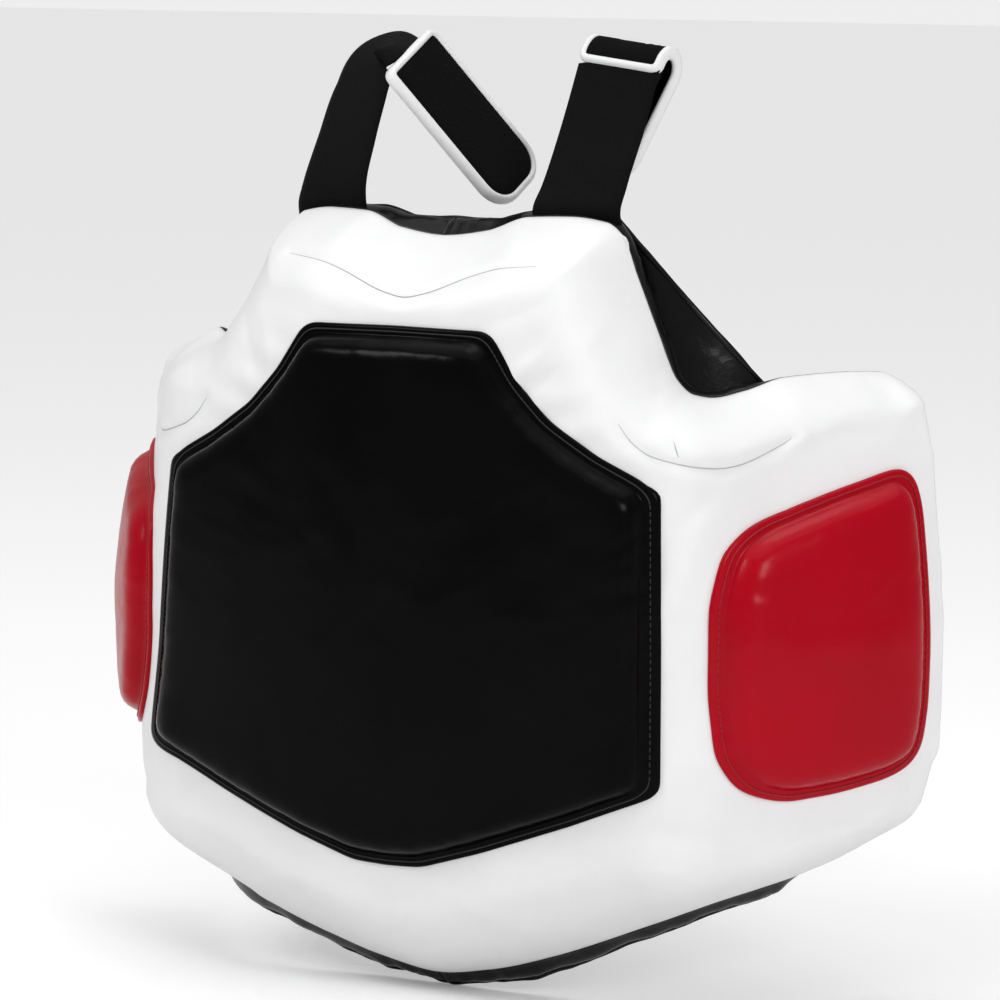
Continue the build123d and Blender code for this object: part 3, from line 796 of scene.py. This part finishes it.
def step_inward(loop, distance):
    """The loop moved inward by short steps, its points kept evenly spaced so that corners never cross."""
    steps = max(int(math.ceil(distance / .0012)), 1)
    for _ in range(steps):
        loop = loop + loop_normals(loop) * distance / steps
        closed = np.vstack([loop, loop[:1]])
        length = lengths(closed)
        loop = points_at(closed, length, np.linspace(0, length[-1], len(loop), endpoint=False))
        loop = loop * 0.6 + (np.roll(loop, 1, 0) + np.roll(loop, -1, 0)) * 0.2
    return loop


def make_target(name, outline, passes, material, thread, replaced, body, seed):
    """Raised target: a sewn flange, a swelling bevel and a nearly flat face, all following the outline."""
    loop = rounded_loop(outline, .003, passes)
    middle = loop.mean(0)
    reach = np.abs(loop - middle).max(0)
    rings = [loop]
    for (before, _), (after, _) in zip(PAD_PROFILE, PAD_PROFILE[1:]):
        rings.append(step_inward(rings[-1], after - before))
    last = rings[-1]
    shares = np.linspace(0, 1, 26)[1:-1]
    rings = np.array(rings + [last + (middle - last) * share for share in shares])
    s, z = rings[..., 0], rings[..., 1]
    edge = np.array([d for d, _ in PAD_PROFILE] + [.05] * len(shares))[:, None]
    heights = np.array([h for _, h in PAD_PROFILE] + [PAD_PROFILE[-1][1]] * len(shares))[:, None]
    from_s = np.clip((s - middle[0]) / reach[0], -1, 1)
    from_z = np.clip((z - middle[1]) / reach[1], -1, 1)
    heights = heights + TARGET_CROWN * (1 - from_s ** 2) * (1 - from_z ** 2) * smooth((edge - .010) / .015)
    heights = heights + TARGET_UNEVEN * fractal(s * 30 + seed, z * 30 + seed, seed) * smooth(edge / .02)
    on_bevel = smooth((edge - .004) / .004) * smooth((.022 - edge) / .006)
    heights = heights + BEVEL_PUCKER * fractal(s * 130 + seed, z * 130, seed + 3) * on_bevel
    points = place(s, z, cover_t(s, z) + heights)
    rows, columns = points.shape[:2]
    faces = grid_faces(rows, columns, close_columns=True)
    centre = place(*middle, cover_t(middle[:1], middle[1:])[0] + PAD_PROFILE[-1][1] + TARGET_CROWN)
    flat = np.vstack([points.reshape(-1, 3), centre.reshape(1, 3)])
    hub = len(flat) - 1
    inner = (rows - 1) * columns
    faces += [(inner + j, inner + (j + 1) % columns, hub) for j in range(columns)]
    under = place(loop[:, 0], loop[:, 1], cover_t(loop[:, 0], loop[:, 1]) - .001)
    base = len(flat)
    flat = np.vstack([flat, under])
    faces += [(base + j, base + (j + 1) % columns, (j + 1) % columns, j) for j in range(columns)]
    faces.append(tuple(base + j for j in range(columns))[::-1])
    pad = make_object(name, flat, faces)
    bm_fix_normals(pad)
    dress(pad, material)
    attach(pad, body)
    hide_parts(*replaced)
    s, z = step_inward(loop, SEAM_IN).T
    at = place(s, z, cover_t(s, z) + SEAM_OUT)
    row = stitches(name + "_stitching", at, unit(at - place(s, z, 0)))
    dress(row, thread)
    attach(row, body)


def make_targets():
    """The black target on the chest, wider below on the wearer's right, and a red one on each wing."""
    right_half = [(-s * (1 + RIGHT_FLARE * float(smooth(-z / .18))), z) for s, z in FRONT_TARGET[-2:0:-1]]
    make_target("front_target", FRONT_TARGET + right_half, 2, BLACK, BLACK_THREAD,
                ["front_target_cover", "front_target_foam"], "front", seed=71)
    for name, sign in SIDES:
        tall, drop = (1.0, 0.0) if sign > 0 else (RIGHT_TARGET_TALL, RIGHT_TARGET_DROP)
        shape = [(s * sign, TARGET_MID_Z - drop + (z - TARGET_MID_Z) * tall) for s, z in WING_TARGET]
        make_target(name + "_wing_target", shape, 9, RED, RED_THREAD,
                    [name + "_wing_target_cover", name + "_wing_target_foam"], name + "_wing", seed=83)


make_targets()


# ==== straps, tails and belts ====
def through(frames, count):
    """Middle and across directions along a smooth curve through (middle, across) frames."""
    middles = np.array([f[0] for f in frames], float)
    across = np.array([f[1] for f in frames], float)
    both = np.hstack([middles, across])
    length = lengths(middles)
    slope = np.gradient(both, length, axis=0)
    at = np.linspace(0, length[-1], count)
    i = np.clip(np.searchsorted(length, at, side="right") - 1, 0, len(length) - 2)
    h = (length[i + 1] - length[i])[:, None]
    found = between(both, slope, i, h, (at[:, None] - length[i][:, None]) / h)
    return found[:, :3], unit(found[:, 3:]), at


def band_frame(middle, side):
    """Directions along the band, across it and out of its face, square to each other."""
    run = unit(np.gradient(middle, axis=0))
    side = unit(side - run * np.sum(side * run, 1)[:, None])
    return run, side, np.cross(side, run)


def band(name, frames, width, thickness, count, material, slot, across=15):
    """Flat tape with slightly rounded edges, as a closed mesh with its run coordinates."""
    middle, side, at = through(frames, count)
    _, side, out = band_frame(middle, side)
    v = np.linspace(-1, 1, across)
    half = thickness / 2 * np.sqrt(np.clip(1 - np.abs(v) ** 10, 0.02, 1))
    ring_v = np.concatenate([v, v[::-1]])
    ring_h = np.concatenate([half, -half[::-1]])
    points = middle[:, None] + side[:, None] * (ring_v * width / 2)[:, None] + out[:, None] * ring_h[:, None]
    uvs = np.stack(np.broadcast_arrays(at[:, None], (ring_v * width / 2)[None, :]), -1)
    obj = make_object(name, points, tube_faces(*points.shape[:2]), uvs)
    bm_fix_normals(obj)
    return dress(obj, material)


def make_tail(name, path, side_dirs, replaced):
    """Fastening tail: padded core, pile face outside, hook patch inside and a white edge binding.

    path gives the middle line and side_dirs the direction across it, both along the tail's run. The core
    stands for the pieces in replaced.
    """
    length = lengths(path)
    total = length[-1]
    run, side, out = band_frame(path, side_dirs)

    def at(u, v, h):
        """Points u along the tail, v across it and h out of its face."""
        u, v, h = np.broadcast_arrays(*(np.asarray(x, float) for x in (u, v, h)))
        middle, across, face = (points_at(rows, length, u) for rows in (path, side, out))
        beyond = np.clip(u - total, 0, None)[..., None] * run[-1] + np.clip(u, None, 0)[..., None] * run[0]
        return middle + beyond + across * v[..., None] + face * h[..., None]

    def outline(trim, step=.003):
        """Closed loop in (u, v): nearly square where it is sewn on, round at the tip."""
        w = TAIL_W / 2 - trim
        points = []
        tip = total - trim
        for cu, cv, r, a0 in ((tip, w, TIP_R, 90), (tip, -w, TIP_R, 0), (trim, -w, ROOT_R, -90),
                              (trim, w, ROOT_R, -180)):
            sign_u = 1 if cu > total / 2 else -1
            sign_v = 1 if cv > 0 else -1
            for k in range(9):
                a = math.radians(a0 - 90 * k / 8)
                points.append((cu - sign_u * r + r * math.cos(a), cv - sign_v * r + r * math.sin(a)))
        return resample(points, step, closed=True)

    def plate(piece, trim, low, high, material, easing=.0008):
        """A flat layer between two heights, trimmed all round, with eased edges."""
        loop = outline(trim)
        inward = loop_normals(loop)
        middle_line = np.stack([np.clip(loop[:, 0], TAIL_W / 2, total - TAIL_W / 2), loop[:, 1] * 0], -1)
        eased = loop + inward * easing
        inside = [eased + (middle_line - eased) * share for share in (.25, .5, .75, .96)]
        rings = [(ring, low) for ring in inside[::-1] + [eased]]
        rings += [(loop, low + easing), (loop, high - easing)]
        rings += [(ring, high) for ring in [eased] + inside]
        points = np.stack([at(ring[:, 0], ring[:, 1], h) for ring, h in rings])
        rows, columns = points.shape[:2]
        faces = grid_faces(rows, columns, close_columns=True)
        faces.append(tuple(range(columns)))
        faces.append(tuple(range((rows - 1) * columns, rows * columns))[::-1])
        uvs = np.stack([ring for ring, _ in rings])
        obj = make_object(name + piece, points, faces, uvs)
        bm_fix_normals(obj)
        dress(obj, material)
        bend(obj)
        return obj

    def bend(obj):
        """Bakes a layer's placement into its mesh."""
        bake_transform(obj)

    core = plate("_core", 0, -TAIL_T / 2, TAIL_T / 2, BLACK, .002)
    face = plate("_loop_face", .0025, TAIL_T / 2 - .0006, TAIL_T / 2 + .0008, LOOP)
    hook = plate("_hook_patch", .009, -TAIL_T / 2 - .0014, -TAIL_T / 2 + .0002, HOOK)
    loop = outline(.0008, .002)
    inward = loop_normals(loop)
    turn = np.linspace(0, 2 * math.pi, 16, endpoint=False)
    rings = loop[:, None] + inward[:, None] * (BINDING_IN * np.cos(turn))[None, :, None]
    points = at(rings[..., 0], rings[..., 1], (BINDING_OUT * np.sin(turn))[None, :])
    edge = grid_object(name + "_piping", points, close_rows=True, close_columns=True)
    bm_fix_normals(edge)
    dress(edge, PIPING)
    bend(edge)
    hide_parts(*replaced)
    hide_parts(name + "_loop_face")
    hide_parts(name + "_hook_patch")
    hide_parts(name + "_piping")


def make_tape(name, frames, count):
    """A strap's webbing, in place of the strap and its root."""
    strap = band(name + "_tape", frames, STRAP_W, STRAP_T, count, WEBBING, "webbing")
    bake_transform(strap)
    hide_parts(name, name + "_root")


def make_left_strap():
    """The wearer's left strap stands up, and its tail bends over its top and hangs down behind."""
    base, seam = np.array(LEFT_BASE), np.array(LEFT_SEAM)
    run = unit(seam - base)
    foot = place(STRAP_S, .186, .011)
    tilt = Matrix.Rotation(math.radians(LEFT_TILT), 3, Vector((0, -run[2], run[1])))
    across = np.array(tilt @ Vector((1, 0, 0)))
    frames = [((.0905, foot[1] + .001, .181), (.982, .19, 0)), ((.0915, .0145, .192), (.99, .12, 0)),
              (base + run * .012, (1, .03, 0)), ((base + seam) / 2 + np.array([0, .002, 0]), (1, 0, -.03)),
              (seam, across)]
    make_tape("left_strap", frames, 80)
    radius, straight = LEFT_BEND_R, LEFT_BEND_RUN
    start = seam - run * .001
    points = [start + run * straight * k / 4 for k in range(5)]
    hub = points[-1] + np.array([0, run[2], -run[1]]) * radius
    spoke = points[-1] - hub
    turn = math.radians(LEFT_BEND_TURN)
    for k in range(1, 25):
        a = turn * k / 24
        points.append(hub + np.array([0, spoke[1] * math.cos(a) + spoke[2] * math.sin(a),
                                      spoke[2] * math.cos(a) - spoke[1] * math.sin(a)]))
    heading = math.atan2(run[2], run[1]) - turn
    down = np.array([0, math.cos(heading), math.sin(heading)])
    bent = points[-1]
    points += [bent + down * (TAIL_L - LEFT_BEND_LENGTH + .004) * k / 30 for k in range(1, 31)]
    path = seam + (np.array(points) - seam) @ np.array(tilt).T
    make_tail("left_tail", path, np.tile(across, (len(path), 1)),
              ["left_tail_core", "left_tail_bend"])


def make_right_strap():
    """The wearer's right strap turns half round towards its top, and its tail hangs across the neck."""
    foot = [((-.0975, .0185, .181), (.982, -.19, 0)), ((-.0975, .0175, .190), (.98, -.19, 0))]
    frames = foot + RIGHT_FRAMES
    make_tape("right_strap", frames, 110)
    seam, down, out = np.array(RIGHT_FRAMES[-1][0]), unit(RIGHT_DOWN), unit(RIGHT_OUT)
    share = np.linspace(0, 1, 50)[:, None]
    path = seam + down * (TAIL_L - RIGHT_TAIL_TRIM) * share
    across = np.tile(np.cross(down, out), (50, 1))
    make_tail("right_tail", path, across, ["right_tail_core"])


def level(degrees):
    """The level direction at an angle from +X towards +Y."""
    a = math.radians(degrees)
    return np.array([math.cos(a), math.sin(a), 0])


def make_belts():
    """Elastic back belts, sewn inside the rear edge of each wing, that bend across the wearer's back."""
    hinge = place(S_HINGE, BELT_Z, BELT_DEPTH)
    hub = hinge + level(BELT_HEADING) * BELT_START + level(BELT_HEADING + 90) * BELT_R
    sewn = [place(S_HINGE - run, BELT_Z, t) for run, t in ((.030, -.0022), (.016, -.0022), (.004, .001))]
    bend = [hub + level(BELT_HEADING - 90 + BELT_SWEEP * k / 12) * BELT_R for k in range(13)]
    ahead, out = (level(BELT_HEADING + BELT_SWEEP + turn) for turn in (0, -90))
    line = sewn + bend + [bend[-1] + ahead * BELT_RUN * k / 3 for k in (1, 2, 3)]
    patches = (("hook", 1, HOOK, "hook_face"), ("loop", -1, LOOP, "loop_face"))
    for (name, sign), (kind, face, material, slot) in zip(SIDES, patches):
        mirror = np.array([sign, 1, 1])
        frames = [(point * mirror, (0, 0, 1)) for point in line]
        belt = band(name + "_belt_elastic", frames, BELT_H, BELT_T, 120, ELASTIC, "elastic")
        start = place((S_HINGE - .006) * sign, BELT_Z, 0)
        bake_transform(belt)
        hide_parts(name + "_belt")
        raised = bend[-1] + out * face * (BELT_T / 2 + .0009)
        spots = [((raised + ahead * along) * mirror, (0, 0, 1)) for along in (.0075, .0375, .0675)]
        patch = band(name + "_belt_" + kind + "_patch", spots, *PATCH_SIZE, 20, material, slot)
        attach(patch, name + "_belt")
        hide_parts(name + "_belt_" + kind + "_patch")


make_left_strap()
make_right_strap()
make_belts()


# ==== studio ====
def make_floor():
    """Pale paper that lights nothing, yet looks a little brighter to the camera."""
    corners = [(x * FLOOR_SIZE, y * FLOOR_SIZE) for x, y in ((-1, -1), (1, -1), (1, 1), (-1, 1))]
    floor = make_object("floor", [(x, y, CAD_BOX[0][2] - .002) for x, y in corners], [(0, 1, 2, 3)])
    material, tree, shader = new_material("floor_paper")
    shader.inputs["Base Color"].default_value = (FLOOR_GREY, FLOOR_GREY, FLOOR_GREY, 1)
    shader.inputs["Roughness"].default_value = 0.9
    shader.inputs["Emission Color"].default_value = (1, 1, 1, 1)
    seen = add(tree, "ShaderNodeLightPath").outputs["Is Camera Ray"]
    tree.links.new(ramp(tree, seen, 0, FLOOR_LIFT), shader.inputs["Emission Strength"])
    floor.data.materials.append(material)


def make_world():
    """White all round, brighter to the camera than as a light."""
    world = bpy.data.worlds.new("studio")
    world.use_nodes = True
    tree = world.node_tree
    background = tree.nodes["Background"]
    background.inputs["Color"].default_value = (1, 1, 1, 1)
    seen = add(tree, "ShaderNodeLightPath").outputs["Is Camera Ray"]
    tree.links.new(ramp(tree, seen, WORLD_LIGHT, WORLD_SEEN), background.inputs["Strength"])
    bpy.context.scene.world = world
    bpy.context.scene.view_settings.view_transform = "Standard"


def put(name, data, at):
    """A light or the camera, put into the scene."""
    obj = bpy.data.objects.new(name, data)
    obj.location = at
    bpy.context.scene.collection.objects.link(obj)
    return obj


def make_lights():
    """A wide overhead sun and three soft lamps that face the object."""
    sun = bpy.data.lights.new("overhead", "SUN")
    sun.energy = SUN_POWER
    sun.angle = math.radians(SUN_SPREAD)
    put("overhead", sun, (0, 0, 3))
    for name, at, size, power in LAMPS:
        light = bpy.data.lights.new(name, "AREA")
        light.energy = power
        light.size = size
        put(name, light, at).rotation_euler = (-Vector(at)).to_track_quat("-Z", "Y").to_euler()


def make_camera():
    """The camera looks at its target from an azimuth, an elevation and a distance, rolled a little."""
    a, e, roll = (math.radians(v) for v in (CAMERA_AZIMUTH, CAMERA_ELEVATION, CAMERA_ROLL))
    back = Vector((math.sin(a) * math.cos(e), -math.cos(a) * math.cos(e), math.sin(e)))
    across = Vector((math.cos(a), math.sin(a), 0))
    above = back.cross(across)
    right = across * math.cos(roll) + above * math.sin(roll)
    up = above * math.cos(roll) - across * math.sin(roll)
    data = bpy.data.cameras.new("camera")
    data.lens = CAMERA_LENS
    data.sensor_width = 36
    at = Vector(CAMERA_TARGET) + back * CAMERA_DISTANCE
    camera = put("camera", data, at)
    camera.matrix_world = Matrix.Translation(at) @ Matrix((right, up, back)).transposed().to_4x4()
    bpy.context.scene.camera = camera


make_floor()
make_world()
make_lights()
make_camera()
